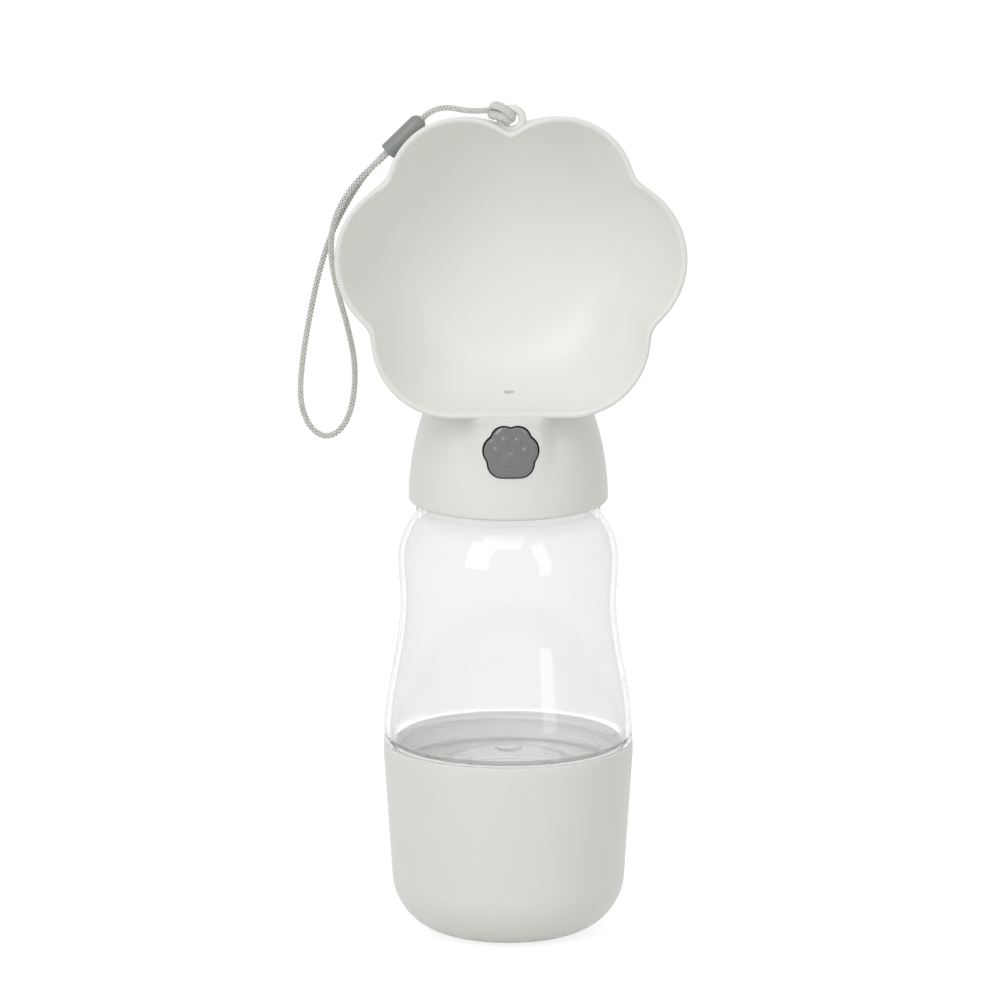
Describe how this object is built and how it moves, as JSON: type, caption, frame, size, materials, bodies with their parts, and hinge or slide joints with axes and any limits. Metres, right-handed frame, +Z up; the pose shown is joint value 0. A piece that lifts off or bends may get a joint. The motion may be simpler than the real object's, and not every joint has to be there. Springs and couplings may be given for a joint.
{
  "type": "pet travel water bottle",
  "caption": "Clear waisted travel water bottle with a screw-on food cup below and a cap with a paw-shaped drinking bowl, push-button valve and wrist lanyard.",
  "frame": {"origin": "centre of the base, on the surface that the bottle stands on", "axes": "+Z up along the bottle's axis, -Y towards the side that the bowl and the button face, +X to the right seen from that side"},
  "size_m": [0.1163, 0.075, 0.2608],
  "materials": {
    "white_plastic": "fine satin moulding",
    "clear_plastic": "clear, polished",
    "grey_plastic": "satin moulding",
    "natural_plastic": "natural moulding",
    "silicone": "soft, translucent white",
    "dark_rubber": "soft black",
    "steel": "bright",
    "cord": "braided"
  },
  "bodies": {
    "food_cup": {"food_cup": "white_plastic"},
    "cup_seal": {"cup_seal": "silicone"},
    "bottle": {"bottle": "clear_plastic"},
    "neck_seal": {"neck_seal": "silicone"},
    "cap": {"bowl_cap": "white_plastic", "inner_cap": "natural_plastic", "inner_cap_screws": "steel", "valve_cage": "natural_plastic", "valve_spring": "steel", "stem_o_ring": "dark_rubber", "outlet_tube": "silicone", "tether_knot": "cord", "lanyard_tether": "cord", "lanyard_sleeve": "grey_plastic", "lanyard_loop": "cord"},
    "button": {"button": "grey_plastic", "button_slider": "natural_plastic"},
    "valve": {"valve_stem": "natural_plastic", "valve_plug": "silicone"}
  },
  "joints": [
    {"name": "bottle_lift", "type": "slide", "parent": "food_cup", "child": "cup_seal", "axis": [0, 0, 1], "range_m": [0, 0.03]},
    {"name": "bottle_turn", "type": "hinge", "parent": "cup_seal", "child": "bottle", "pos_m": [0, 0, 0.051], "axis": [0, 0, 1], "range_deg": [0, 450]},
    {"name": "cap_lift", "type": "slide", "parent": "bottle", "child": "neck_seal", "axis": [0, 0, 1], "range_m": [0, 0.03]},
    {"name": "cap_turn", "type": "hinge", "parent": "neck_seal", "child": "cap", "pos_m": [0, 0, 0.1421], "axis": [0, 0, 1], "range_deg": [0, 450]},
    {"name": "button_press", "type": "slide", "parent": "cap", "child": "button", "axis": [0, 1, 0], "range_m": [0, 0.0024], "stiffness_N_per_m": 1500, "springref_m": -0.002},
    {"name": "valve_open", "type": "slide", "parent": "cap", "child": "valve", "axis": [0, 0, -1], "range_m": [0, 0.0024], "deforming": ["valve_spring"]}
  ],
  "couplings": [
    {"joint": "valve_open", "follows": "button_press", "ratio": 1}
  ]
}
